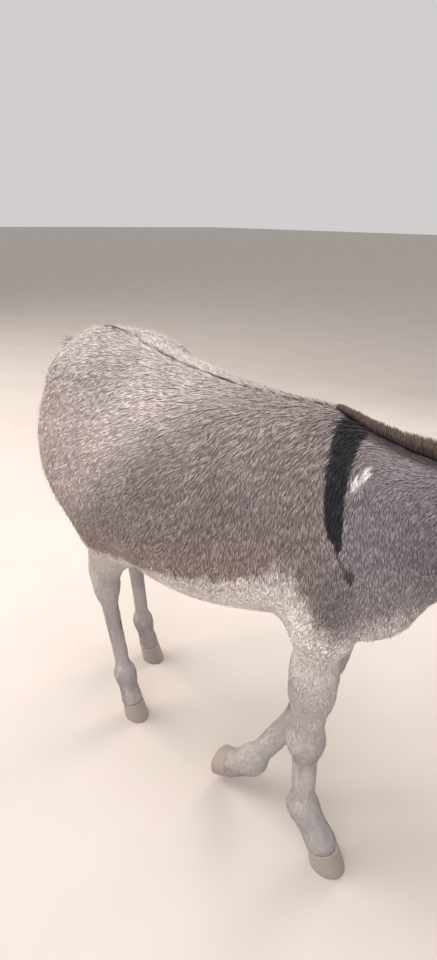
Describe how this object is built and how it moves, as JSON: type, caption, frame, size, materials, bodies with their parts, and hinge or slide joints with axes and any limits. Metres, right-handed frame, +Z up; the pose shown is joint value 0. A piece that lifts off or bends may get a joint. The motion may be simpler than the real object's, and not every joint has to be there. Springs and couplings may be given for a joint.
{
  "type": "donkey",
  "caption": "Life-size still donkey standing on its planted legs with one foreleg lifted, long upright ears, short mane, shoulder cross stripe, pale belly and tufted tail.",
  "frame": {"origin": "centre of the bounding box on the floor that the three planted hooves stand on", "axes": "+X forward towards the head, +Y to the animal's left, +Z up"},
  "size_m": [1.6468, 0.4478, 1.2145],
  "materials": {
    "coat_grey": "short grey-fawn coat of overlapping hair tufts, matt",
    "coat_pale": "short cream to greyish white coat, matt",
    "hair_dark": "coarse dark brown hair in locks, matt",
    "eye": "dark brown eye, wet and glossy",
    "hoof_horn": "grey horn with fine growth rings, satin"
  },
  "bodies": {
    "root": {"trunk": "coat_grey", "neck": "coat_grey", "head": "coat_grey", "ear_right": "coat_grey", "ear_left": "coat_grey", "tail": "coat_grey", "foreleg_right": "coat_pale", "foreleg_left": "coat_pale", "hindleg_right": "coat_pale", "hindleg_left": "coat_pale", "mane": "hair_dark", "tail_tuft": "hair_dark", "eye_right": "eye", "eye_left": "eye", "hoof_fore_right": "hoof_horn", "hoof_fore_left": "hoof_horn", "hoof_hind_right": "hoof_horn", "hoof_hind_left": "hoof_horn"}
  },
  "joints": []
}
